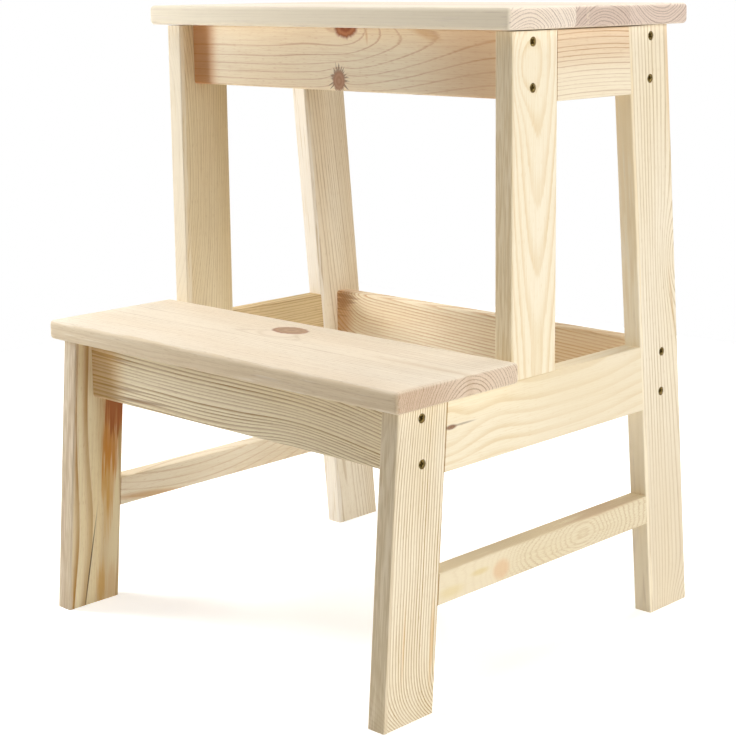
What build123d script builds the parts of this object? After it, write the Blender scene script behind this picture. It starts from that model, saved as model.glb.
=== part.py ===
from build123d import *
import math
import os

# A two-step kitchen stool in solid pine: two doweled side frames, four cross aprons and two step boards.
# Millimetres and degrees. +Z is up, the front is towards -Y, and the origin is the middle of the footprint
# on the floor. The right side frame is modelled and the left one is its mirror image.

# Overall sizes
overall_height = 500.0  # floor to the top of the upper board
overall_depth = 372.0  # front of the front feet to the back of the rear feet
frame_width = 382.0  # over the outer faces of the two side frames
step_height = 245.0  # floor to the top of the lower board

# Timber sections
board_thickness = 16.0
frame_thickness = 16.0  # every slat of a side frame
apron_thickness = 16.0
leg_width = 51.0  # square to the leg
post_width = 52.0
side_rail_height = 53.0
top_rail_height = 52.0
stretcher_height = 24.0
apron_height = 50.5

# Where the pieces stand
front_leg_lean = 4.5  # the front foot stands forward of the leg's top
rear_leg_lean = 5.1  # the rear foot stands behind the leg's top
post_front = -47.3
stretcher_bottom = 79.0
post_apron_offset = -2.7  # middle of the upper front apron, from the middle of the post
rear_apron_offset = 1.5  # middle of a rear apron, from the middle of the rear leg
mid_rear_apron_rise = 0.7  # the middle rear apron stands this far above the side rails

# Overhang of the step boards
side_overhang = 8.0
top_front_overhang = 13.0
top_rear_overhang = 17.0
step_front_overhang = 9.0

# Roundings
board_edge_radius = 3.5
apron_edge_radius = 2.5
frame_edge_radius = 1.2

# Gaps between pieces
top_gap = 1.0  # posts and top rails stop short of the upper board, which rests on the aprons
rear_leg_gap = 1.1  # the rear leg's top is cut out of square and meets the board at its back edge only
step_gap = 0.3  # between the lower board and the posts behind it

# Wood screws with countersunk heads
screw_head_diameter = 7.0
screw_shank_diameter = 3.5
screw_rim = 0.4  # straight edge of the head above its cone
screw_tip = 5.0
apron_screw_length = 45.0
apron_screw_pitch = 33.0
step_screw_length = 32.0
step_screw_grip = 22.0  # timber left between the screw's counterbore and the board
step_screw_spacing = 220.0  # along an apron
screw_sink = 0.6  # an apron screw's head lies below the leg's face
screw_clearance = 0.1  # around the head and the thread
shank_clearance = 0.25  # around the shank in the piece that is pulled tight
screw_end_room = 2.0
cutter_overshoot = 1.0  # a cutter stands out of the face that it enters

# Dowels of the side frames
dowel_diameter = 8.0
dowel_length = 36.0
dowel_edge = 13.0  # dowel's axis from the edge of its rail or post
stretcher_dowel_diameter = 6.0
stretcher_dowel_length = 30.0
stretcher_dowel_edge = 6.0
dowel_chamfer = 0.8
dowel_clearance = 0.05
dowel_end_room = 1.0

# Heights and faces that follow from the sizes above
top_underside = overall_height - board_thickness
step_underside = step_height - board_thickness
frame_top = top_underside - top_gap
top_rail_bottom = frame_top - top_rail_height
side_rail_bottom = step_underside - side_rail_height
stretcher_top = stretcher_bottom + stretcher_height
outer_face = frame_width / 2
inner_face = outer_face - frame_thickness
frame_middle = outer_face - frame_thickness / 2
board_length = frame_width + 2 * side_overhang
post_back = post_front + post_width
front_leg_run = math.tan(math.radians(front_leg_lean))
rear_leg_run = math.tan(math.radians(rear_leg_lean))
front_leg_level_width = leg_width / math.cos(math.radians(front_leg_lean))
rear_leg_level_width = leg_width / math.cos(math.radians(rear_leg_lean))

ALONG_X = Vector(1, 0, 0)
ALONG_Y = Vector(0, 1, 0)
ALONG_Z = Vector(0, 0, 1)


# Edges of the upright pieces in side view, as Y at a height

def front_leg_front(height):
    return -overall_depth / 2 + front_leg_run * height


def front_leg_back(height):
    return front_leg_front(height) + front_leg_level_width


def rear_leg_back(height):
    return overall_depth / 2 - rear_leg_run * height


def rear_leg_front(height):
    return rear_leg_back(height) - rear_leg_level_width


def post_front_edge(height):
    return post_front


def post_back_edge(height):
    return post_back


# Timber

def ease(blank, grain, radius):
    """Round the arrises that run along the grain."""
    arrises = blank.edges().filter_by(lambda edge: abs(edge.tangent_at(0.5).dot(grain)) > 0.9)
    return fillet(arrises, radius)


def slat(front, back, bottom, top, grain, front_drop=0.0):
    """A slat of the right side frame, cut level at both ends, between two edges given as Y at a height."""
    front_top = top - front_drop
    outline = Polyline(
        (front(bottom), bottom),
        (back(bottom), bottom),
        (back(top), top),
        (front(front_top), front_top),
        close=True,
    )
    blank = extrude(Plane.YZ.offset(inner_face) * make_face(outline), amount=frame_thickness)
    return ease(blank, grain, frame_edge_radius)


def apron(middle, bottom):
    """A cross rail between the inner faces of the side frames."""
    blank = Box(2 * inner_face, apron_thickness, apron_height, align=(Align.CENTER, Align.CENTER, Align.MIN))
    return ease(Pos(0, middle, bottom) * blank, ALONG_X, apron_edge_radius)


def step_board(front, back, top):
    """A step board, rounded on all its edges and corners."""
    blank = Box(board_length, back - front, board_thickness, align=(Align.CENTER, Align.MIN, Align.MAX))
    return fillet((Pos(0, front, top) * blank).edges(), board_edge_radius)


# Fasteners

def turned(*outline):
    """Turn a closed outline of radius and height about the Z axis."""
    return revolve(Plane.XZ * make_face(Polyline(*outline, close=True)), axis=Axis.Z)


def screw(length):
    """A wood screw that points down, with the top of its head at the origin."""
    head = screw_head_diameter / 2
    shank = screw_shank_diameter / 2
    cone = head - shank
    return turned(
        (0, 0),
        (head, 0),
        (head, -screw_rim),
        (shank, -screw_rim - cone),
        (shank, screw_tip - length),
        (0, -length),
    )


def screw_bore(sink, through, length):
    """The hole for a screw below a face at the origin: head, free shank down to through, then thread."""
    head = screw_head_diameter / 2 + screw_clearance
    free = screw_shank_diameter / 2 + shank_clearance
    thread = screw_shank_diameter / 2 + screw_clearance
    seat = -sink - screw_rim
    end = -sink - length - screw_end_room
    return turned(
        (0, cutter_overshoot),
        (head, cutter_overshoot),
        (head, seat),
        (free, seat - (head - free)),
        (free, -through),
        (thread, -through),
        (thread, end),
        (0, end),
    )


def dowel(place, direction, diameter, length):
    """A dowel with chamfered ends, half in each of the two pieces that meet at its place."""
    radius = diameter / 2
    half = length / 2
    pin = turned(
        (0, -half),
        (radius - dowel_chamfer, -half),
        (radius, dowel_chamfer - half),
        (radius, half - dowel_chamfer),
        (radius - dowel_chamfer, half),
        (0, half),
    )
    return Plane(origin=place, z_dir=direction) * pin


def dowel_bore(place, direction, diameter, length):
    """The hole for a dowel, longer and a little wider than the dowel."""
    bore = Cylinder(diameter / 2 + dowel_clearance, length + 2 * dowel_end_room)
    return Plane(origin=place, z_dir=direction) * bore


def mirrored(piece):
    return mirror(piece, about=Plane.YZ)


def both_sides(pieces):
    """Pieces of the right side together with their mirror images on the left."""
    return pieces + [mirrored(piece) for piece in pieces]


# Slats of the right side frame
right_frame = {
    "front_leg": slat(front_leg_front, front_leg_back, 0, step_underside, ALONG_Z),
    "rear_leg": slat(rear_leg_front, rear_leg_back, 0, top_underside, ALONG_Z, rear_leg_gap),
    "post": slat(post_front_edge, post_back_edge, step_underside, frame_top, ALONG_Z),
    "side_rail": slat(front_leg_back, rear_leg_front, side_rail_bottom, step_underside, ALONG_Y),
    "top_rail": slat(post_back_edge, rear_leg_front, top_rail_bottom, frame_top, ALONG_Y),
    "stretcher": slat(front_leg_back, rear_leg_front, stretcher_bottom, stretcher_top, ALONG_Y),
}

# Dowels of the right side frame: each rail's ends, and the foot of the post on the side rail


def rail_dowel_places(front, back, bottom, top, edge):
    heights = (bottom + edge, top - edge)
    return [(frame_middle, end(height), height) for end in (front, back) for height in heights]


dowel_joints = {
    "side_rail_dowels": (
        rail_dowel_places(front_leg_back, rear_leg_front, side_rail_bottom, step_underside, dowel_edge),
        (ALONG_Y, dowel_diameter, dowel_length),
    ),
    "top_rail_dowels": (
        rail_dowel_places(post_back_edge, rear_leg_front, top_rail_bottom, frame_top, dowel_edge),
        (ALONG_Y, dowel_diameter, dowel_length),
    ),
    "stretcher_dowels": (
        rail_dowel_places(
            front_leg_back, rear_leg_front, stretcher_bottom, stretcher_top, stretcher_dowel_edge
        ),
        (ALONG_Y, stretcher_dowel_diameter, stretcher_dowel_length),
    ),
    "post_dowels": (
        [(frame_middle, y, step_underside) for y in (post_front + dowel_edge, post_back - dowel_edge)],
        (ALONG_Z, dowel_diameter, dowel_length),
    ),
}
frame_bores = []
dowels = {}
for node, (places, sizes) in dowel_joints.items():
    frame_bores += [dowel_bore(place, *sizes) for place in places]
    dowels[node] = both_sides([dowel(place, *sizes) for place in places])

# Aprons, each with its middle in Y and its lower edge
front_apron_bottom = step_underside - apron_height
top_apron_bottom = top_underside - apron_height
mid_rear_apron_bottom = step_underside + mid_rear_apron_rise - apron_height


def rear_apron_middle(bottom):
    height = bottom + apron_height / 2
    return (rear_leg_front(height) + rear_leg_back(height)) / 2 + rear_apron_offset


front_apron_mid_height = front_apron_bottom + apron_height / 2
front_apron_middle = (front_leg_front(front_apron_mid_height) + front_leg_back(front_apron_mid_height)) / 2
top_front_apron_middle = (post_front + post_back) / 2 + post_apron_offset
apron_places = {
    "front_apron": (front_apron_middle, front_apron_bottom),
    "top_front_apron": (top_front_apron_middle, top_apron_bottom),
    "top_rear_apron": (rear_apron_middle(top_apron_bottom), top_apron_bottom),
    "mid_rear_apron": (rear_apron_middle(mid_rear_apron_bottom), mid_rear_apron_bottom),
}
aprons = {node: apron(*place) for node, place in apron_places.items()}

# Two screws through the leg or post into each end of an apron
screws = {}
for node, (middle, bottom) in apron_places.items():
    half_pitch = apron_screw_pitch / 2
    mid_height = bottom + apron_height / 2
    heights = (mid_height - half_pitch, mid_height + half_pitch)
    faces = [Plane(origin=(outer_face, middle, level), z_dir=ALONG_X) for level in heights]
    bores = [face * screw_bore(screw_sink, frame_thickness, apron_screw_length) for face in faces]
    heads = [face.offset(-screw_sink) * screw(apron_screw_length) for face in faces]
    frame_bores += bores
    aprons[node] -= both_sides(bores)
    screws[f"{node}_screws"] = both_sides(heads)


# Screws from below hold the step boards: up through the aprons, and up through the side rails

def step_fixing(x, y, bottom, height):
    """The screw and its bore in a piece of that height, counterbored from its lower edge."""
    sink = height - step_screw_grip
    face = Plane(origin=(x, y, bottom), z_dir=-ALONG_Z)
    return face.offset(-sink) * screw(step_screw_length), face * screw_bore(sink, height, step_screw_length)


half_spacing = step_screw_spacing / 2
step_apron_fixings = {
    node: step_fixing(half_spacing, *apron_places[node], apron_height)
    for node in ("front_apron", "top_front_apron", "top_rear_apron")
}
rail_fixing_y = (front_leg_back(step_underside) + post_front) / 2
rail_fixing = step_fixing(frame_middle, rail_fixing_y, side_rail_bottom, side_rail_height)
for node, (fixing, bore) in step_apron_fixings.items():
    aprons[node] -= both_sides([bore])
frame_bores.append(rail_fixing[1])
top_fixings = [step_apron_fixings["top_front_apron"], step_apron_fixings["top_rear_apron"]]
lower_fixings = [step_apron_fixings["front_apron"], rail_fixing]
screws["top_step_screws"] = both_sides([fixing for fixing, bore in top_fixings])
screws["lower_step_screws"] = both_sides([fixing for fixing, bore in lower_fixings])

# Step boards
top_step_front = post_front - top_front_overhang
top_step_back = rear_leg_back(top_underside) + top_rear_overhang
lower_step_front = front_leg_front(step_underside) - step_front_overhang
lower_step_back = post_front - step_gap
top_step = step_board(top_step_front, top_step_back, overall_height)
lower_step = step_board(lower_step_front, lower_step_back, step_height)
top_step -= both_sides([bore for fixing, bore in top_fixings])
lower_step -= both_sides([bore for fixing, bore in lower_fixings])

# One file for each node
nodes = {"top_step": top_step, "lower_step": lower_step}
nodes.update(aprons)
for name, blank in right_frame.items():
    piece = blank - frame_bores
    nodes[f"{name}_right"] = piece
    nodes[f"{name}_left"] = mirrored(piece)
for node, group in {**screws, **dowels}.items():
    nodes[node] = Compound(children=group)

os.makedirs("parts", exist_ok=True)
for node, piece in nodes.items():
    export_step(piece, f"parts/{node}.step")
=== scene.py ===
import math

import bpy
import numpy as np
from mathutils import Matrix, Vector


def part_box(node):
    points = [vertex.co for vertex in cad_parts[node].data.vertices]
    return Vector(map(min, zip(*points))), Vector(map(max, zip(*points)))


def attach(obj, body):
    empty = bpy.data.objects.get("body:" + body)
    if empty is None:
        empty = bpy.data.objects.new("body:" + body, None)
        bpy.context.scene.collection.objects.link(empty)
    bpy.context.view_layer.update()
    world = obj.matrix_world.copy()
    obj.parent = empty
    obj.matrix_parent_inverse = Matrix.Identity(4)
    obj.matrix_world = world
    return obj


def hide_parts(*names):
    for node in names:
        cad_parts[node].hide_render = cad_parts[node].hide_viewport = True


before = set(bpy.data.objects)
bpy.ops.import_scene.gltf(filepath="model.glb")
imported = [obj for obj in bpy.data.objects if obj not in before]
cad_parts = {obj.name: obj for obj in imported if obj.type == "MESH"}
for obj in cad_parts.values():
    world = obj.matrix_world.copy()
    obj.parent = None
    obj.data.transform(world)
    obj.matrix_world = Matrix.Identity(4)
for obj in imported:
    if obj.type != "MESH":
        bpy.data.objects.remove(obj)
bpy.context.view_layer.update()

# The looks of a two-step pine stool. Metres, +Z up, the front towards -Y.
# Sizes inside the pine are millimetres, which its Mapping node makes from the Object coordinates.

# The photograph's viewpoint
image_pixels = 736.0
focal_pixels = 1739.6
axis_pixel = (396.7, 300.8)  # where the lens axis meets the picture, from its upper left corner
camera_place = (0.9848, -1.0070, 0.5202)
camera_heading = 43.4376  # degrees to the left of +Y
camera_tilt = -10.477
camera_roll = -0.533
sensor_width = 36.0

# Screws
screw_head_diameter = 0.0070
screw_rim = 0.0004  # straight edge of the head above its cone
screw_edge = 0.0002  # by which the head's flat drops at its edge
screw_core_diameter = 0.0024
screw_thread_diameter = 0.0035
screw_thread_pitch = 0.0022
screw_ridge_share = 0.25  # of the pitch, from a ridge's foot to its crest
screw_tip = 0.0050
apron_screw_length = 0.045
recess_arm = 0.0048  # tip to tip of the cross
recess_width = 0.0016
recess_depth = 0.0022
recess_slope = 0.0003  # of the cross's walls, in plan
first_screw_turn = 17  # degrees
next_screw_turn = 38
zinc_cloud = 0.002  # size of a patch in the plating


def linear(code):
    """An sRGB hex colour as linear red, green, blue and alpha."""
    parts = np.array([int(code[i:i + 2], 16) for i in (1, 3, 5)]) / 255
    light = np.where(parts <= 0.04045, parts / 12.92, ((parts + 0.055) / 1.055) ** 2.4)
    return (*light.tolist(), 1.0)


def add(tree, kind, inputs=None, **settings):
    """Add a node, make its settings, and link or set its inputs.

    A node given as an input gives its first output."""
    node = tree.nodes.new(kind)
    for name, value in settings.items():
        setattr(node, name, value)
    for socket, value in (inputs or {}).items():
        if isinstance(value, bpy.types.Node):
            value = value.outputs[0]
        if isinstance(value, bpy.types.NodeSocket):
            tree.links.new(value, node.inputs[socket])
        else:
            node.inputs[socket].default_value = value
    return node


# Pine

UPRIGHT = ("Z", "Y", "X")  # axes along the grain, across the face and through the thickness
RAIL = ("Y", "Z", "X")
APRON = ("X", "Z", "Y")
BOARD = ("X", "Y", "Z")

# Sizes of the patterns in the wood, in millimetres along the grain, across it and in depth
SWAY_SIZE = (120.0, 30.0, 30.0)
FIBRE_SIZE = (45.0, 0.7, 0.7)  # real fibres are finer, these are drawn coarser so that they show
FLECK_SIZE = (7.0, 0.5, 0.5)  # resin flecks, drawn coarser too
BUNDLE_SIZE = (40.0, 2.2, 2.2)  # bundles of fibres, which fray the edge of a knot or stain

NOISE_APART = 97.0  # a board's place in metres times this keeps its slow noise apart from the others
BOW_SPAN = 100.0  # distance from the board's middle at which bow is the log's bend
DARKEST = 0.94  # share of a year at which its late wood is darkest
LAST_DARK = 0.95  # share of a year after which the dark falls off
KNOT_RINGS = 12.0  # radians of a knot's rings from its middle to its edge
EVERYWHERE = 1e6  # reach of a swirl or knot that goes right through the wood
ONE_OVER_E = math.exp(-1)


def per(size):
    """How often a pattern of that size comes in each millimetre."""
    return tuple(1 / length for length in size)


def pine(
    node,
    cut,
    ring,
    pith,
    lean=0.0,
    drift=(0.0, 0.0),
    bow=0.0,
    tightening=0.0,
    phase=0.0,
    uneven=1.6,
    ragged=0.6,
    late=0.45,
    strength=0.8,
    end_strength=0.8,
    sway=2.0,
    pale="#F6E9CE",
    dark="#B8965C",
    warm="#EACFA2",
    warmth=0.35,
    end_tone="#E4D3C4",
    strips=(),
    swirls=(),
    marks_and_painted_light=(),
):
    """Planed, unvarnished pine, cut from a log and left matt.

    The eye sees pale early wood that darkens to the end of each growth ring, over a ground that is warmer
    in places, with fine fibres, flecks and knots. Some patches laid on like stains are painted shade and
    painted light. Lengths are millimetres from the middle of the board.
    ring is the width of a year, pith the log's middle across the face and in depth, lean the board's own
    slope, and drift and bow are the slope and bend of the log against the board. late is the dark share of
    a year, uneven the change from year to year, ragged the fraying of the rings and sway their wandering.
    tightening narrows the years away from the pith, or widens them below zero, and phase shifts them all.

    A knot or stain lies at a place along and across the grain, with a reach both ways and a turn in
    degrees. soft is the share of its reach over which it fades, spikes and jags are the size and number of
    its points, streaks frays it along the fibres, level and depth keep it to one layer, and heart colours
    every other ring."""
    material = bpy.data.materials.new(f"planed_pine_{node}")
    material.use_nodes = True
    tree = material.node_tree
    shader = tree.nodes["Principled BSDF"]
    low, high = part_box(node)
    middle = (low + high) / 2

    # Place in the board: along the grain, across the face and through the thickness, from its middle
    place = add(tree, "ShaderNodeTexCoord").outputs["Object"]
    millimetres = add(
        tree,
        "ShaderNodeMapping",
        {"Vector": place, "Location": middle, "Scale": (0.001, 0.001, 0.001)},
        vector_type="TEXTURE",
    )
    parts = add(tree, "ShaderNodeSeparateXYZ", {0: millimetres})
    along, across, depth = [parts.outputs[axis] for axis in cut]
    upright = add(tree, "ShaderNodeMath", {0: along, 1: -lean, 2: across}, operation="MULTIPLY_ADD")
    board = add(tree, "ShaderNodeCombineXYZ", {0: along, 1: upright, 2: depth})

    # Edge-glued strips come from other parts of the log
    beyond_edges = [
        add(tree, "ShaderNodeMath", {0: across, 1: strip["edge"]}, operation="GREATER_THAN")
        for strip in strips
    ]
    for strip, beyond in zip(strips, beyond_edges):
        board = add(
            tree,
            "ShaderNodeVectorMath",
            {0: beyond, 1: strip["shift"], 2: board},
            operation="MULTIPLY_ADD",
        )

    # The log is never quite straight: slow noise moves its rings sideways
    slow = add(
        tree,
        "ShaderNodeVectorMath",
        {0: board, 1: per(SWAY_SIZE), 2: tuple(middle * NOISE_APART)},
        operation="MULTIPLY_ADD",
    )
    swaying = add(tree, "ShaderNodeTexNoise", {"Vector": slow, "Scale": 1.0, "Detail": 2.0})
    swayed = add(
        tree,
        "ShaderNodeVectorMath",
        {0: swaying.outputs["Color"], 1: (0.0, 2 * sway, 2 * sway), 2: board},
        operation="MULTIPLY_ADD",
    )
    bent = add(tree, "ShaderNodeSeparateXYZ", {0: swayed})
    square = add(tree, "ShaderNodeMath", {0: along, 1: along}, operation="MULTIPLY")
    bowed = add(
        tree,
        "ShaderNodeMath",
        {0: square, 1: -bow / BOW_SPAN ** 2, 2: bent.outputs[1]},
        operation="MULTIPLY_ADD",
    )
    sideways = add(tree, "ShaderNodeMath", {0: along, 1: -drift[0], 2: bowed}, operation="MULTIPLY_ADD")
    inwards = add(
        tree,
        "ShaderNodeMath",
        {0: along, 1: -drift[1], 2: bent.outputs[2]},
        operation="MULTIPLY_ADD",
    )
    in_log = add(tree, "ShaderNodeCombineXYZ", {0: sideways, 1: inwards})
    radius = add(
        tree,
        "ShaderNodeVectorMath",
        {0: in_log, 1: (pith[0] + sway, pith[1] + sway, 0.0)},
        operation="DISTANCE",
    ).outputs["Value"]

    # Fibres fray the rings
    fine = add(tree, "ShaderNodeVectorMath", {0: board, 1: per(FIBRE_SIZE)}, operation="MULTIPLY")
    fibre = add(tree, "ShaderNodeTexNoise", {"Vector": fine, "Scale": 1.0, "Detail": 2.0})
    radius = add(tree, "ShaderNodeMath", {0: fibre, 1: ragged, 2: radius}, operation="MULTIPLY_ADD")

    # A swirl lifts the rings round a place, as beside a knot
    for swirl in swirls:
        near = add(
            tree,
            "ShaderNodeMapping",
            {
                "Vector": board,
                "Location": (*swirl["at"], 0.0),
                "Scale": (*swirl["reach"], EVERYWHERE),
            },
            vector_type="TEXTURE",
        )
        away = add(
            tree,
            "ShaderNodeVectorMath",
            {0: near, 1: near},
            operation="DOT_PRODUCT",
        ).outputs["Value"]
        lifted = add(tree, "ShaderNodeMath", {0: ONE_OVER_E, 1: away}, operation="POWER")
        radius = add(
            tree,
            "ShaderNodeMath",
            {0: lifted, 1: swirl["lift"], 2: radius},
            operation="MULTIPLY_ADD",
        )

    # Ring number, with uneven years
    density = add(tree, "ShaderNodeMath", {0: radius, 1: tightening, 2: 1 / ring}, operation="MULTIPLY_ADD")
    even = add(tree, "ShaderNodeMath", {0: radius, 1: density, 2: phase}, operation="MULTIPLY_ADD")
    years = add(tree, "ShaderNodeTexNoise", {"W": even, "Scale": 0.37, "Detail": 1.0}, noise_dimensions="1D")
    number = add(tree, "ShaderNodeMath", {0: years, 1: uneven, 2: even}, operation="MULTIPLY_ADD")
    season = add(tree, "ShaderNodeMath", {0: number}, operation="FRACT")
    year = add(tree, "ShaderNodeMath", {0: number}, operation="FLOOR")
    vigour = add(tree, "ShaderNodeTexWhiteNoise", {"W": year}, noise_dimensions="1D")
    rise = add(
        tree,
        "ShaderNodeMapRange",
        {"Value": season, "From Min": 1 - late, "From Max": DARKEST},
        interpolation_type="SMOOTHSTEP",
    )
    fall = add(tree, "ShaderNodeMapRange", {"Value": season, "From Min": 1.0, "From Max": LAST_DARK})
    line = add(tree, "ShaderNodeMath", {0: rise, 1: fall}, operation="MULTIPLY")
    weight = add(tree, "ShaderNodeMapRange", {"Value": vigour, "To Min": 0.65, "To Max": 1.0})
    drawn = add(tree, "ShaderNodeMath", {0: line, 1: weight}, operation="MULTIPLY")

    # End grain shows its rings plainly, a face shows them more in some places than in others
    facing = add(tree, "ShaderNodeNewGeometry").outputs["Normal"]
    sides = add(tree, "ShaderNodeSeparateXYZ", {0: facing})
    endways = add(tree, "ShaderNodeMath", {0: sides.outputs[cut[0]]}, operation="ABSOLUTE")
    end = add(tree, "ShaderNodeMapRange", {"Value": endways, "From Min": 0.55, "From Max": 0.85})
    patchy = add(tree, "ShaderNodeTexNoise", {"Vector": slow, "Scale": 1.7, "Detail": 1.0})
    patch = add(
        tree,
        "ShaderNodeMapRange",
        {"Value": patchy, "From Min": 0.3, "From Max": 0.65, "To Min": 0.6 * strength, "To Max": strength},
    )
    plain = add(tree, "ShaderNodeMix", {"Factor": end, "A": patch, "B": end_strength})
    grain = add(tree, "ShaderNodeMath", {0: drawn, 1: plain}, operation="MULTIPLY")

    # Fibres again, as streaks, and resin flecks
    streak = add(
        tree,
        "ShaderNodeMapRange",
        {"Value": fibre, "From Min": 0.45, "From Max": 0.75, "To Max": 0.2},
    )
    short = add(tree, "ShaderNodeVectorMath", {0: board, 1: per(FLECK_SIZE)}, operation="MULTIPLY")
    specks = add(tree, "ShaderNodeTexNoise", {"Vector": short, "Scale": 1.0, "Detail": 0.0})
    fleck = add(
        tree,
        "ShaderNodeMapRange",
        {"Value": specks, "From Min": 0.66, "From Max": 0.8, "To Max": 0.3},
    )
    marks = add(tree, "ShaderNodeMath", {0: streak, 1: fleck}, operation="ADD")

    # Colours: rings over a pale ground that is warmer in places
    broad = add(tree, "ShaderNodeTexNoise", {"Vector": slow, "Scale": 0.8, "Detail": 0.0})
    blush = add(
        tree,
        "ShaderNodeMapRange",
        {"Value": broad, "From Min": 0.4, "From Max": 0.75, "To Max": warmth},
    )
    colour = add(
        tree,
        "ShaderNodeMix",
        {"Factor": blush, "A": linear(pale), "B": linear(warm)},
        data_type="RGBA",
    ).outputs["Result"]
    for strip, beyond in zip(strips, beyond_edges):
        colour = add(
            tree,
            "ShaderNodeMix",
            {"Factor": beyond, "A": colour, "B": linear(strip["tone"])},
            data_type="RGBA",
        ).outputs["Result"]
    for factor in (grain, marks):
        colour = add(
            tree,
            "ShaderNodeMix",
            {"Factor": factor, "A": colour, "B": linear(dark)},
            data_type="RGBA",
        ).outputs["Result"]

    # Knots, with a heart, spikes and streaks where they have them, stains, bark pockets and fine cracks, and
    # patches of painted shade and painted light
    bundles = add(tree, "ShaderNodeVectorMath", {0: board, 1: per(BUNDLE_SIZE)}, operation="MULTIPLY")
    bundle = add(tree, "ShaderNodeTexNoise", {"Vector": bundles, "Scale": 1.0, "Detail": 2.0})
    for mark_or_painted_light in marks_and_painted_light:
        near = add(
            tree,
            "ShaderNodeMapping",
            {
                "Vector": swayed,
                "Location": (mark_or_painted_light["at"][0], mark_or_painted_light["at"][1] + sway, mark_or_painted_light.get("level", 0.0) + sway),
                "Rotation": (0.0, 0.0, math.radians(mark_or_painted_light.get("turn", 0.0))),
                "Scale": (*mark_or_painted_light["reach"], mark_or_painted_light.get("depth", EVERYWHERE)),
            },
            vector_type="TEXTURE",
        )
        off = add(tree, "ShaderNodeVectorMath", {0: near}, operation="LENGTH").outputs["Value"]
        spikes = mark_or_painted_light.get("spikes", 0.0)
        towards = add(tree, "ShaderNodeVectorMath", {0: near}, operation="NORMALIZE")
        jags = mark_or_painted_light.get("jags", 4.0)
        jagged = add(tree, "ShaderNodeTexNoise", {"Vector": towards, "Scale": jags, "Detail": 2.0})
        stretch = add(
            tree,
            "ShaderNodeMapRange",
            {
                "Value": jagged,
                "From Min": 0.35,
                "From Max": 0.65,
                "To Min": 1 + spikes,
                "To Max": 1 - spikes,
            },
        )
        streaks = mark_or_painted_light.get("streaks", 0.0)
        fray = add(
            tree,
            "ShaderNodeMapRange",
            {"Value": bundle, "From Min": 0.3, "From Max": 0.7, "To Min": -streaks, "To Max": streaks},
        )
        off = add(tree, "ShaderNodeMath", {0: off, 1: stretch, 2: fray}, operation="MULTIPLY_ADD")
        soft = mark_or_painted_light.get("soft", 0.25)
        inside = add(
            tree,
            "ShaderNodeMapRange",
            {"Value": off, "From Min": 1 + soft, "From Max": 1 - soft, "To Max": mark_or_painted_light.get("strength", 1.0)},
            interpolation_type="SMOOTHSTEP",
        )
        turns = add(tree, "ShaderNodeMath", {0: off, 1: KNOT_RINGS}, operation="MULTIPLY")
        wave = add(tree, "ShaderNodeMath", {0: turns}, operation="SINE")
        rings = add(tree, "ShaderNodeMapRange", {"Value": wave, "From Min": -1.0, "From Max": 1.0})
        fill = add(
            tree,
            "ShaderNodeMix",
            {"Factor": rings, "A": linear(mark_or_painted_light["colour"]), "B": linear(mark_or_painted_light.get("heart", mark_or_painted_light["colour"]))},
            data_type="RGBA",
        ).outputs["Result"]
        colour = add(
            tree,
            "ShaderNodeMix",
            {"Factor": inside, "A": colour, "B": fill},
            data_type="RGBA",
        ).outputs["Result"]

    # End grain soaks up more light and looks greyer
    soaked = linear(end_tone)
    for strip, beyond in zip(strips, beyond_edges):
        soaked = add(
            tree,
            "ShaderNodeMix",
            {"Factor": beyond, "A": soaked, "B": linear(strip["end_tone"])},
            data_type="RGBA",
        ).outputs["Result"]
    cut_end = add(
        tree,
        "ShaderNodeMix",
        {"Factor": end, "A": colour, "B": soaked},
        data_type="RGBA",
        blend_type="MULTIPLY",
    ).outputs["Result"]
    tree.links.new(cut_end, shader.inputs["Base Color"])

    rough = add(tree, "ShaderNodeMapRange", {"Value": grain, "To Min": 0.72, "To Max": 0.58})
    tree.links.new(rough.outputs[0], shader.inputs["Roughness"])
    shader.inputs["Specular IOR Level"].default_value = 0.25
    relief = add(tree, "ShaderNodeMath", {0: fibre, 1: grain}, operation="ADD")
    bump = add(tree, "ShaderNodeBump", {"Strength": 0.25, "Distance": 0.0001, "Height": relief})
    tree.links.new(bump.outputs[0], shader.inputs["Normal"])
    return material


def dress(node, material):
    """Give a CAD node a material."""
    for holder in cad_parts[node].material_slots:
        holder.material = material


# Slopes of the legs
front_lean = math.tan(math.radians(4.5))
rear_lean = -math.tan(math.radians(5.1))

# Right side frame, seen from outside

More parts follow.
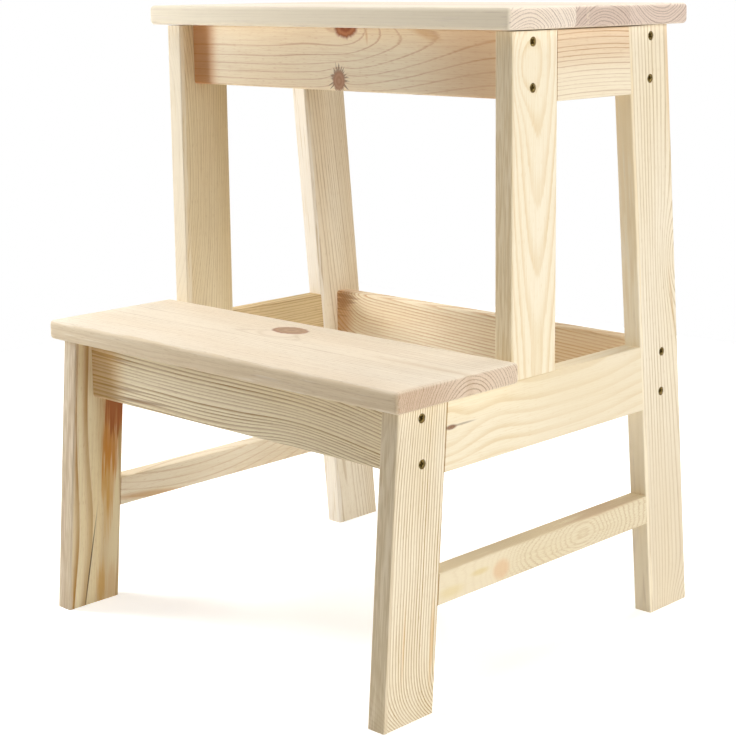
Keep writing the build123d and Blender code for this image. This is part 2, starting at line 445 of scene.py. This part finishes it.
dress("post_right", pine(
    "post_right", UPRIGHT, ring=3.0, pith=(3.5, -29.0), drift=(0.0, 0.058), phase=0.45, uneven=0.0, late=0.6,
    ragged=1.2, sway=0.5, strength=0.58, pale="#FCF2DA", dark="#E0C288", warm="#F9EBC8",
    swirls=[
        dict(at=(102.0, -15.0), reach=(27.0, 15.0), lift=-6.2),
        dict(at=(140.0, -8.0), reach=(24.0, 30.0), lift=4.0),
        dict(at=(-130.0, 3.5), reach=(26.0, 14.0), lift=-2.2),
    ],
    marks_and_painted_light=[
        # The narrow front edge
        dict(at=(0.0, -26.5), reach=(400.0, 2.5), streaks=0.3, soft=0.5, strength=0.75,
             colour="#F3E4C4", heart="#DDC9A0"),
    ],
))
dress("front_leg_right", pine(
    "front_leg_right", UPRIGHT, ring=2.7, pith=(-90.0, -20.0), lean=front_lean, uneven=0.0, late=0.65,
    sway=1.6, strength=1.05, pale="#FAF0D8", dark="#B08C4A", warm="#F3E2BC",
    swirls=[
        dict(at=(-150.0, 0.0), reach=(36.0, 200.0), lift=-52.0),
        dict(at=(165.0, -40.0), reach=(80.0, 40.0), lift=-12.0),
    ],
    marks_and_painted_light=[
        # Golden streaks
        dict(at=(-60.0, 20.5), reach=(26.0, 1.4), soft=0.8, strength=0.55, colour="#DDB068"),
        dict(at=(-55.0, -9.5), reach=(22.0, 1.0), soft=0.8, strength=0.4, colour="#DDB068"),
        # The narrow front edge
        dict(at=(0.0, -26.0), reach=(400.0, 2.6), streaks=0.3, soft=0.5, strength=0.85,
             colour="#ECDEC2", heart="#D8C7A4"),
    ],
))
dress("rear_leg_right", pine(
    "rear_leg_right", UPRIGHT, ring=3.6, pith=(40.0, -25.0), lean=rear_lean, uneven=0.3, late=0.5, sway=1.2,
    strength=0.75, pale="#FAF0DA", dark="#B89C66", warm="#F4E4C0",
    swirls=[
        dict(at=(54.0, 29.0), reach=(34.0, 19.0), lift=-14.0),
        dict(at=(20.0, 25.0), reach=(110.0, 30.0), lift=-6.0),
        dict(at=(-248.0, 25.0), reach=(25.0, 25.0), lift=-15.0),
    ],
    marks_and_painted_light=[
        # Golden streaks
        dict(at=(205.0, 23.5), reach=(45.0, 1.8), soft=0.8, strength=0.45, colour="#DDB478"),
        dict(at=(20.0, 19.0), reach=(22.0, 1.3), turn=-6.0, soft=0.8, strength=0.5, colour="#C8A468"),
        # Greyer wood near the floor
        dict(at=(-180.0, 0.0), reach=(100.0, 90.0), soft=0.7, strength=0.5, colour="#E2D2B4"),
        # The narrow front edge, paler all along as painted light, and darker towards its top
        dict(at=(0.0, -26.0), reach=(500.0, 3.0), streaks=0.8, soft=0.5, strength=0.8, colour="#FFF3D6"),
        dict(at=(180.0, -26.0), reach=(120.0, 3.0), streaks=0.8, soft=0.6, strength=0.5, colour="#EAD4A8"),
    ],
))
dress("side_rail_right", pine(
    "side_rail_right", RAIL, ring=8.0, pith=(30.0, -10.0), phase=0.375, uneven=0.0, late=0.6, ragged=1.5,
    sway=0.8, strength=0.46, pale="#FAEFD4", dark="#DBBC7E", warm="#F6E5BC",
    swirls=[
        dict(at=(-61.0, 0.0), reach=(28.0, 40.0), lift=4.0),
        dict(at=(134.0, 0.0), reach=(55.0, 60.0), lift=8.0),
        dict(at=(-118.0, 16.0), reach=(22.0, 10.0), lift=6.0),
        dict(at=(-118.0, -8.0), reach=(28.0, 14.0), lift=-7.0),
    ],
    marks_and_painted_light=[
        # A bark pocket and the fine line behind it
        dict(at=(-113.0, 5.5), reach=(5.5, 1.7), soft=0.4, strength=0.85, colour="#9A6440", heart="#6A4426"),
        dict(at=(-101.0, 5.8), reach=(12.0, 0.7), soft=0.6, strength=0.5, colour="#75553C"),
        # Greyer wood towards the back
        dict(at=(70.0, 0.0), reach=(90.0, 90.0), soft=0.7, strength=0.45, colour="#EADCC0"),
    ],
))
dress("top_rail_right", pine(
    "top_rail_right", RAIL, ring=7.0, pith=(60.0, 20.0), tightening=0.0011, bow=-6.0, late=0.3, sway=0.8,
    strength=1.15, pale="#F9ECD0", dark="#AE7C44", warm="#F0D8B0",
    marks_and_painted_light=[
        # Browner above and paler below
        dict(at=(0.0, 26.0), reach=(300.0, 26.0), soft=0.6, strength=0.4, colour="#DCB48C"),
        dict(at=(0.0, -20.0), reach=(300.0, 20.0), soft=0.5, strength=0.5, colour="#FAEFD6"),
    ],
))
dress("stretcher_right", pine(
    "stretcher_right", RAIL, ring=1.65, pith=(0.0, -300.0), uneven=0.5, late=0.5, ragged=1.7, sway=3.2,
    strength=0.5, pale="#ECE0C2", dark="#BA965A", warm="#E8D8B0",
    swirls=[
        dict(at=(40.0, 1.0), reach=(110.0, 50.0), lift=36.0),
        dict(at=(42.0, 2.0), reach=(32.0, 15.0), lift=7.0),
        dict(at=(-30.0, 0.0), reach=(26.0, 12.0), lift=3.0),
    ],
    marks_and_painted_light=[
        # The pale front part, with a round knot and yellow spots
        dict(at=(-105.0, 0.0), reach=(62.0, 30.0), soft=0.35, strength=0.75, colour="#F1E4C6"),
        dict(at=(-58.0, -3.0), reach=(9.0, 7.5), soft=0.4, strength=0.5, colour="#E2B27E"),
        dict(at=(-82.0, 2.0), reach=(9.0, 2.2), soft=0.6, strength=0.5, colour="#DEC67C"),
        dict(at=(-114.0, -4.5), reach=(12.0, 3.5), soft=0.7, strength=0.4, colour="#E4CE88"),
        # The narrow upper edge, browner in one place
        dict(at=(0.0, 12.5), reach=(300.0, 1.5), streaks=0.8, soft=0.5, strength=0.5, colour="#DAC8A4"),
        dict(at=(66.0, 12.5), reach=(40.0, 1.2), soft=0.6, streaks=0.6, strength=0.3, colour="#C8A284"),
    ],
))

# Left side frame, seen from inside

dress("post_left", pine(
    "post_left", UPRIGHT, ring=1.9, pith=(-90.0, -30.0), strength=0.6, pale="#EFE0BE", dark="#AE8E52",
    swirls=[
        dict(at=(150.0, -40.0), reach=(60.0, 35.0), lift=12.0),
        dict(at=(-140.0, -30.0), reach=(80.0, 40.0), lift=16.0),
    ],
    marks_and_painted_light=[
        # Painted shade: browner towards the back
        dict(at=(0.0, 25.0), reach=(400.0, 12.0), soft=0.9, strength=0.25, colour="#C8A866"),
        # The narrow front edge, paler: painted light
        dict(at=(0.0, -26.0), reach=(400.0, 4.0), streaks=0.8, soft=0.5, strength=0.7, colour="#FDF4E0"),
    ],
))
dress("front_leg_left", pine(
    "front_leg_left", UPRIGHT, ring=2.83, pith=(-70.0, 20.0), lean=front_lean, tightening=-0.00236,
    phase=0.33, uneven=0.0, late=0.7, sway=1.0, strength=1.3, pale="#F6EAC8", dark="#B07E2A", warm="#EBD49C",
    swirls=[dict(at=(-50.0, 2.0), reach=(70.0, 25.0), lift=-9.0)],
    marks_and_painted_light=[
        # Pale wood, and golden stains at the foot
        dict(at=(-60.0, 19.0), reach=(70.0, 9.0), soft=0.7, strength=0.75, colour="#EADCB8"),
        dict(at=(-101.0, 6.0), reach=(17.0, 4.0), soft=0.6, streaks=0.4, strength=0.6, colour="#D6A450"),
        dict(at=(-102.0, 17.5), reach=(16.0, 6.0), soft=0.6, streaks=0.4, strength=0.4, colour="#D2A064"),
        # A resin stain that gets darker and wider upwards
        dict(at=(-34.0, 11.0), reach=(24.0, 3.5), turn=-2.0, soft=0.5, streaks=0.6, strength=0.35,
             colour="#D8A650"),
        dict(at=(-6.0, 11.5), reach=(28.0, 5.0), turn=-2.0, soft=0.5, streaks=0.6, strength=0.7,
             colour="#D29C46"),
        dict(at=(22.0, 12.0), reach=(24.0, 8.0), turn=-4.0, soft=0.4, streaks=0.5, strength=0.85,
             colour="#CC8A3C"),
        dict(at=(52.0, 17.5), reach=(22.0, 12.0), turn=-4.0, soft=0.25, streaks=0.3, strength=0.9,
             colour="#BE7C44"),
        dict(at=(54.0, 15.0), reach=(20.0, 7.0), turn=-4.0, soft=0.4, streaks=0.9, strength=0.7,
             colour="#A25C34"),
        # A fine crack
        dict(at=(-80.0, -5.5), reach=(36.0, 0.6), turn=7.5, soft=0.7, strength=0.9, colour="#3B2A20"),
        # The narrow front edge
        dict(at=(0.0, -26.0), reach=(400.0, 2.4), streaks=0.3, soft=0.5, strength=0.85,
             colour="#EADCC6", heart="#D3C1A4"),
    ],
))
dress("rear_leg_left", pine(
    "rear_leg_left", UPRIGHT, ring=2.2, pith=(-22.0, -14.0), lean=rear_lean, drift=(-0.05, 0.0), late=0.5,
    sway=1.2, strength=0.7, pale="#FCF2DC", dark="#B2945E",
    marks_and_painted_light=[
        # Painted shade: browner towards the back
        dict(at=(40.0, 20.0), reach=(200.0, 12.0), soft=0.9, strength=0.3, colour="#BE9C60"),
        # The narrow front edge, paler: painted light
        dict(at=(0.0, -26.0), reach=(500.0, 4.0), streaks=0.8, soft=0.5, strength=0.85, colour="#FFF8EA"),
    ],
))
dress("side_rail_left", pine(
    "side_rail_left", RAIL, ring=2.6, pith=(90.0, 20.0), late=0.5, pale="#E0C99C", dark="#A27A40",
))
dress("top_rail_left", pine("top_rail_left", RAIL, ring=3.0, pith=(-80.0, 20.0)))
dress("stretcher_left", pine(
    "stretcher_left", RAIL, ring=6.5, pith=(60.0, 30.0), drift=(0.126, 0.0), bow=14.0, uneven=0.6, late=0.3,
    sway=1.2, strength=0.45, pale="#FDF3DC", dark="#BE9450",
    marks_and_painted_light=[dict(at=(-95.0, -9.0), reach=(40.0, 2.6), turn=-6.0, soft=0.8, strength=0.6, colour="#D29E50")],
))

# Aprons, seen from the front

NEAR_FRONT = dict(level=-8.0, depth=10.0)  # a tone that fades before the back; at the aprons' left ends it is painted shade

dress("front_apron", pine(
    "front_apron", APRON, ring=3.1, pith=(-120.0, 30.0), drift=(-0.03, 0.0), uneven=0.8, late=0.65, sway=1.2,
    strength=1.0, pale="#FFF5D8", dark="#A47E3C", warm="#F8E6B8",
    swirls=[
        dict(at=(190.0, -70.0), reach=(150.0, 70.0), lift=-30.0),
        dict(at=(65.0, -32.0), reach=(45.0, 25.0), lift=-6.0),
        dict(at=(200.0, 0.0), reach=(80.0, 80.0), lift=18.0),
    ],
    marks_and_painted_light=[
        # Dark lines along the grain
        dict(at=(-105.0, -18.5), reach=(36.0, 0.9), turn=1.5, soft=0.7, strength=0.6, colour="#8A5A2C"),
        dict(at=(-125.0, -20.5), reach=(30.0, 0.8), turn=2.0, soft=0.7, strength=0.5, colour="#8A5A2C"),
        dict(at=(-152.0, 12.0), reach=(26.0, 0.9), turn=-2.0, soft=0.7, strength=0.6, colour="#8A5A2C"),
        dict(at=(-140.0, -12.0), reach=(38.0, 0.9), turn=1.0, soft=0.7, strength=0.5, colour="#8A5A2C"),
        # The left end on the front face, darker and golden: painted shade, deepening the front leg's shadow
        dict(**NEAR_FRONT, at=(-176.0, 0.0), reach=(36.0, 90.0), soft=0.4, strength=0.5, colour="#D29A2C"),
    ],
))
dress("top_front_apron", pine(
    "top_front_apron", APRON, ring=5.0, pith=(24.0, -32.0), phase=0.09, uneven=0.0, late=0.2, ragged=0.8,
    sway=1.0, strength=0.55, pale="#FFF3D8", dark="#B4742C", warm="#FBE0B6",
    swirls=[
        dict(at=(176.0, 18.0), reach=(130.0, 60.0), lift=24.0),
        dict(at=(78.0, 30.0), reach=(36.0, 12.0), lift=6.0),
        dict(at=(9.0, 26.0), reach=(30.0, 22.0), lift=-5.0),
        dict(at=(1.0, -14.0), reach=(14.0, 9.0), lift=3.0),
    ],
    marks_and_painted_light=[
        # The ends on the front face: the left end is darker and golden as painted shade, deepening the
        # post's shadow, and the right end is golden
        dict(**NEAR_FRONT, at=(-176.0, 0.0), reach=(26.0, 90.0), soft=0.4, strength=0.7, colour="#D28430"),
        dict(**NEAR_FRONT, at=(165.0, 0.0), reach=(60.0, 90.0), soft=0.8, strength=0.42, colour="#D89C58"),
        # Small brown marks
        dict(at=(32.0, 18.5), reach=(1.1, 5.5), turn=4.0, soft=0.7, strength=0.5, colour="#CFA05C"),
        dict(at=(94.0, 20.5), reach=(12.0, 2.6), turn=-16.0, soft=0.9, strength=0.5, colour="#D2A058"),
        # The round knot at the upper edge
        dict(at=(9.0, 26.0), reach=(12.5, 9.5), soft=0.2, spikes=0.06, colour="#98552F", heart="#BC7C50"),
        # The spiked knot and its paler middle
        dict(at=(1.0, -15.5), reach=(7.8, 9.2), soft=0.1, spikes=0.36, jags=6.5, strength=0.7,
             colour="#764C30"),
        dict(at=(1.0, -17.0), reach=(6.2, 7.6), soft=0.25, colour="#AE8264", heart="#BC9478"),
    ],
))
dress("top_rear_apron", pine("top_rear_apron", APRON, ring=3.4, pith=(-60.0, 40.0)))
dress("mid_rear_apron", pine(
    "mid_rear_apron", APRON, ring=2.8, pith=(-120.0, 30.0), drift=(-0.05, 0.0), uneven=0.4, late=0.6,
    sway=0.8, strength=0.75, pale="#FFF5DC", dark="#C48C44", warm="#FCE2B6",
    swirls=[dict(at=(-180.0, 24.0), reach=(24.0, 36.0), lift=-22.0)],
    marks_and_painted_light=[
        # The ends on the front face: the left end is darker and golden as painted shade, deepening the rear
        # leg's shadow, and the right end is golden. And a brown stain at the left one
        dict(**NEAR_FRONT, at=(-176.0, 0.0), reach=(18.0, 40.0), soft=0.5, strength=0.6, colour="#C0823A"),
        dict(**NEAR_FRONT, at=(130.0, 0.0), reach=(60.0, 60.0), soft=0.5, strength=0.4, colour="#E0B068"),
        dict(at=(-166.0, 17.0), reach=(14.0, 9.0), turn=30.0, soft=0.5, streaks=0.9, strength=0.5,
             colour="#9A602C"),
    ],
))

# Step boards

dress("lower_step", pine(
    "lower_step", BOARD, ring=5.0, pith=(10.5, -22.0), tightening=0.0024, late=0.4, ragged=1.2, sway=1.4,
    strength=0.3, end_strength=0.75, pale="#FDF3E0", dark="#9E7C4E", warm="#F7E5CA", end_tone="#EAE0DA",
    swirls=[dict(at=(-14.0, 30.0), reach=(28.0, 18.0), lift=-6.0)],
    marks_and_painted_light=[
        # The pale patch in front of the knot, with its darker rim
        dict(at=(-11.5, 20.3), reach=(20.0, 12.0), soft=0.15, strength=0.5, colour="#D9C8B0"),
        dict(at=(-12.5, 20.8), reach=(17.0, 9.6), soft=0.3, strength=0.9, colour="#FBEFDC"),
        # The knot and its rim
        dict(at=(-13.4, 35.8), reach=(16.6, 11.9), soft=0.1, spikes=0.04, colour="#B28874"),
        dict(at=(-13.0, 36.4), reach=(15.0, 10.3), soft=0.25, spikes=0.06,
             colour="#C4A68A", heart="#B6987E"),
        # Brown marks near the right end
        dict(at=(165.0, 9.5), reach=(45.0, 3.5), soft=0.9, strength=0.3, colour="#C9AC82"),
        dict(at=(199.0, -42.0), reach=(4.0, 30.0), soft=0.8, strength=0.3, colour="#BC9468"),
        # The narrow front edge
        dict(at=(0.0, -64.7), reach=(500.0, 1.8), streaks=0.8, soft=0.5, strength=0.45, colour="#DEC698"),
    ],
))
dress("top_step", pine(
    "top_step", BOARD, ring=2.4, pith=(-89.5, -30.0), late=0.45, ragged=1.2, sway=1.6, strength=0.4,
    end_strength=0.75, pale="#FDF3E2", dark="#9A8272", warm="#F8E8D0", end_tone="#FBF8F8",
    strips=[
        dict(edge=-34.0, shift=(310.0, -90.0, 7.0), tone="#F6E8D6", end_tone="#E4DCDC"),
        dict(edge=32.5, shift=(270.0, -75.0, -75.0), tone="#F9EBDA", end_tone="#ECE6E6"),
    ],
    marks_and_painted_light=[
        # The narrow front edge, paler: painted light
        dict(at=(0.0, -110.0), reach=(500.0, 1.8), streaks=0.8, soft=0.5, strength=0.8, colour="#FFF6DE"),
    ],
))


# Screws

def screw_surface(length, turns=32):
    """Points of a countersunk wood screw that points along +Z, and the faces between them.

    A profile of radius and depth is carried round the axis, ring by ring. On the head's flat the depth is
    that of the cross: the greater of two arms, each the product of a ramp across its width and a ramp along
    its length. On the thread the radius rises from the core to the crest where depth over pitch, less the
    turn, comes round."""
    head = screw_head_diameter / 2
    core = screw_core_diameter / 2
    crest = screw_thread_diameter / 2 - core
    neck = screw_rim + head - core

    # Ten rings on the head's flat, six to each turn of the thread and five on the point
    flat = np.linspace(0.1, 0.95, 10) * head
    threaded = np.arange(neck, length - screw_tip, screw_thread_pitch / 6)
    point = np.linspace(length - screw_tip, length, 6)[:-1]
    taper = (length - point) / screw_tip
    radius = np.concatenate([flat, [head, head], np.full(len(threaded), core), core * taper])
    depth = np.concatenate([np.zeros(len(flat)), [screw_edge, screw_rim], threaded, point])
    ridge_height = np.concatenate([np.zeros(len(flat) + 3), np.ones(len(threaded) - 1), taper])

    angle = np.arange(turns) / turns * 2 * np.pi
    phase = np.mod(depth[:, None] / screw_thread_pitch - angle / (2 * np.pi), 1.0)
    ridge = np.clip(1 - np.abs(phase - 0.5) / screw_ridge_share, 0, 1)
    r = radius[:, None] + crest * ridge_height[:, None] * ridge
    x, y = r * np.cos(angle), r * np.sin(angle)
    across = np.clip((recess_width / 2 - np.abs([y, x])) / recess_slope, 0, 1)
    lengthwise = np.clip((recess_arm / 2 - np.abs([x, y])) / (2 * recess_slope), 0, 1)
    cross = (across * lengthwise).max(axis=0)
    z = depth[:, None] + recess_depth * cross * (np.arange(len(depth)) < len(flat))[:, None]

    rings = np.stack([x, y, z], axis=-1).reshape(-1, 3)
    points = np.concatenate([[[0, 0, recess_depth]], rings, [[0, 0, length]]])
    first = 1 + np.arange(turns)
    following = 1 + (np.arange(turns) + 1) % turns
    step = turns * np.arange(len(depth) - 1)[:, None]
    lower = step + turns
    quads = np.stack([step + first, lower + first, lower + following, step + following], axis=-1)
    last = turns * (len(depth) - 1)
    cap = np.stack([np.zeros(turns, int), first, following], axis=-1)
    tip = np.stack([np.full(turns, len(points) - 1), last + following, last + first], axis=-1)
    return points, quads.reshape(-1, 4), np.concatenate([cap, tip])


def screws(node, heads, pointing, length, material):
    """The screws of a node as one mesh. Each is turned further about its axis than the one before."""
    points, quads, triangles = screw_surface(length)
    placed = []
    faces = []
    for index, (head, towards) in enumerate(zip(heads, pointing)):
        aim = Vector(towards).to_track_quat("Z", "Y").to_matrix()
        spin = Matrix.Rotation(math.radians(first_screw_turn + next_screw_turn * index), 3, "Z")
        placed.append(points @ np.array(aim @ spin).T + np.array(head))
        offset = index * len(points)
        faces += (quads + offset).tolist() + (triangles + offset).tolist()
    mesh = bpy.data.meshes.new(f"threaded_{node}")
    mesh.from_pydata(np.concatenate(placed).tolist(), [], faces)
    mesh.materials.append(material)
    piece = bpy.data.objects.new(f"threaded_{node}", mesh)
    bpy.context.scene.collection.objects.link(piece)
    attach(piece, "root")
    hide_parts(node)


def yellow_zinc():
    """Yellow-passivated zinc on steel: an olive brass with cloudy, greener and browner patches."""
    material = bpy.data.materials.new("yellow_zinc_plated_steel")
    material.use_nodes = True
    tree = material.node_tree
    shader = tree.nodes["Principled BSDF"]
    shader.inputs["Metallic"].default_value = 1.0
    place = add(tree, "ShaderNodeTexCoord").outputs["Object"]
    clouds = add(tree, "ShaderNodeTexNoise", {"Vector": place, "Scale": 1 / zinc_cloud, "Detail": 3.0})
    cloud = add(tree, "ShaderNodeMapRange", {"Value": clouds, "From Min": 0.35, "From Max": 0.65})
    colour = add(
        tree,
        "ShaderNodeMix",
        {"Factor": cloud, "A": linear("#6E6038"), "B": linear("#9A8450")},
        data_type="RGBA",
    ).outputs["Result"]
    tree.links.new(colour, shader.inputs["Base Color"])
    rough = add(tree, "ShaderNodeMapRange", {"Value": clouds, "To Min": 0.3, "To Max": 0.5})
    tree.links.new(rough.outputs[0], shader.inputs["Roughness"])
    bump = add(tree, "ShaderNodeBump", {"Strength": 0.2, "Distance": 0.00005, "Height": clouds})
    tree.links.new(bump.outputs[0], shader.inputs["Normal"])
    return material


zinc = yellow_zinc()
head_radius = screw_head_diameter / 2
for apron in ("front_apron", "top_front_apron", "top_rear_apron", "mid_rear_apron"):
    node = f"{apron}_screws"
    low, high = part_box(node)
    middle = (low.y + high.y) / 2
    heights = (low.z + head_radius, high.z - head_radius)
    places = [(x, middle, z) for x in (low.x, high.x) for z in heights]
    inward = [(-math.copysign(1, x), 0, 0) for x, y, z in places]
    screws(node, places, inward, apron_screw_length, zinc)

low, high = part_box("top_step_screws")
apron_x = high.x - head_radius
rows = (low.y + head_radius, high.y - head_radius)
places = [(x, y, low.z) for x in (-apron_x, apron_x) for y in rows]
screws("top_step_screws", places, [(0, 0, 1)] * len(places), high.z - low.z, zinc)
low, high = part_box("lower_step_screws")
rail_x = high.x - head_radius
places = [(x, low.y + head_radius, low.z) for x in (-apron_x, apron_x)]
places += [(x, high.y - head_radius, low.z) for x in (-rail_x, rail_x)]
screws("lower_step_screws", places, [(0, 0, 1)] * len(places), high.z - low.z, zinc)


# Dowels

beech_fleck_length = 0.004
beech_fleck_width = 0.0006


def beech(node, grain):
    """Turned beech: pinkish brown with short dark flecks along the grain."""
    material = bpy.data.materials.new(f"turned_beech_{node}")
    material.use_nodes = True
    tree = material.node_tree
    shader = tree.nodes["Principled BSDF"]
    shader.inputs["Roughness"].default_value = 0.55
    place = add(tree, "ShaderNodeTexCoord").outputs["Object"]
    stretched = [1 / (beech_fleck_length if axis == grain else beech_fleck_width) for axis in "XYZ"]
    fine = add(tree, "ShaderNodeVectorMath", {0: place, 1: stretched}, operation="MULTIPLY")
    rays = add(tree, "ShaderNodeTexNoise", {"Vector": fine, "Scale": 1.0, "Detail": 2.0})
    fleck = add(tree, "ShaderNodeMapRange", {"Value": rays, "From Min": 0.45, "From Max": 0.7})
    colour = add(
        tree,
        "ShaderNodeMix",
        {"Factor": fleck, "A": linear("#DDBB94"), "B": linear("#B58A62")},
        data_type="RGBA",
    ).outputs["Result"]
    tree.links.new(colour, shader.inputs["Base Color"])
    bump = add(tree, "ShaderNodeBump", {"Strength": 0.2, "Distance": 0.0001, "Height": rays})
    tree.links.new(bump.outputs[0], shader.inputs["Normal"])
    return material


for node in ("side_rail_dowels", "top_rail_dowels", "stretcher_dowels"):
    dress(node, beech(node, "Y"))
dress("post_dowels", beech("post_dowels", "Z"))


# Light, floor and camera

stool_middle = (0.0, 0.0, 0.3)


def area_lamp(name, place, size, level):
    """A round soft lamp. At a level of 1 it alone makes a white matt surface at the stool look white."""
    towards = Vector(stool_middle) - Vector(place)
    data = bpy.data.lights.new(name, "AREA")
    data.shape = "DISK"
    data.size = size
    data.energy = level * math.pi ** 2 * towards.length_squared
    lamp = bpy.data.objects.new(name, data)
    lamp.location = place
    lamp.rotation_euler = towards.to_track_quat("-Z", "Y").to_euler()
    bpy.context.scene.collection.objects.link(lamp)


area_lamp("right_softbox", (1.9, 0.0, 0.85), 1.2, 0.62)
area_lamp("overhead_softbox", (0.0, 0.0, 2.5), 1.6, 0.34)
area_lamp("rear_softbox", (0.0, 1.5, 2.0), 1.2, 0.44)
area_lamp("left_softbox", (-1.4, -0.6, 1.8), 0.8, 0.33)
area_lamp("front_left_lamp", (-0.74, -0.42, 0.45), 0.24, 0.49)

# The camera, gloss and glass see a white room. The wood gets only a faint warm fill from it.
world = bpy.data.worlds.new("studio")
world.use_nodes = True
sky = world.node_tree
sky.nodes.clear()
ray = add(sky, "ShaderNodeLightPath")
seen = ray.outputs["Is Camera Ray"]
for kind in ("Is Glossy Ray", "Is Transmission Ray"):
    seen = add(sky, "ShaderNodeMath", {0: seen, 1: ray.outputs[kind]}, operation="MAXIMUM")
fill = add(sky, "ShaderNodeBackground", {"Color": linear("#FFD295"), "Strength": 0.08})
white = add(sky, "ShaderNodeBackground", {"Color": linear("#FFFFFF"), "Strength": 1.0})
both = add(sky, "ShaderNodeMixShader", {0: seen, 1: fill, 2: white})
add(sky, "ShaderNodeOutputWorld", {"Surface": both})
bpy.context.scene.world = world

floor_half = 1.1
floor_mesh = bpy.data.meshes.new("floor")
corners = [(x * floor_half, y * floor_half, 0) for x, y in ((-1, -1), (1, -1), (1, 1), (-1, 1))]
floor_mesh.from_pydata(corners, [], [(0, 1, 2, 3)])
floor = bpy.data.objects.new("floor", floor_mesh)
bpy.context.scene.collection.objects.link(floor)

# Matt white paper. For the camera alone it glows, so that it looks white and keeps a faint shadow.
paper = bpy.data.materials.new("white_paper_sweep")
paper.use_nodes = True
sheet = paper.node_tree
sheet.nodes.clear()
ray = add(sheet, "ShaderNodeLightPath")
matt = add(sheet, "ShaderNodeBsdfDiffuse", {"Color": linear("#F2F2F2")})
glow = add(sheet, "ShaderNodeEmission", {"Color": linear("#FFFFFF"), "Strength": 0.45})
shown = add(sheet, "ShaderNodeAddShader", {0: matt, 1: glow})
floor_look = add(sheet, "ShaderNodeMixShader", {0: ray.outputs["Is Camera Ray"], 1: matt, 2: shown})
add(sheet, "ShaderNodeOutputMaterial", {"Surface": floor_look})
floor_mesh.materials.append(paper)

camera_data = bpy.data.cameras.new("camera")
camera_data.sensor_width = sensor_width
camera_data.lens = focal_pixels * sensor_width / image_pixels
camera_data.shift_x = (image_pixels / 2 - axis_pixel[0]) / image_pixels
camera_data.shift_y = (axis_pixel[1] - image_pixels / 2) / image_pixels
camera = bpy.data.objects.new("camera", camera_data)
turn = Matrix.Rotation(math.radians(camera_heading), 4, "Z")
tilt = Matrix.Rotation(math.radians(90 + camera_tilt), 4, "X")
roll = Matrix.Rotation(math.radians(camera_roll), 4, "Z")
camera.matrix_world = Matrix.Translation(camera_place) @ turn @ tilt @ roll
bpy.context.scene.collection.objects.link(camera)
bpy.context.scene.camera = camera
bpy.context.scene.view_settings.view_transform = "Standard"
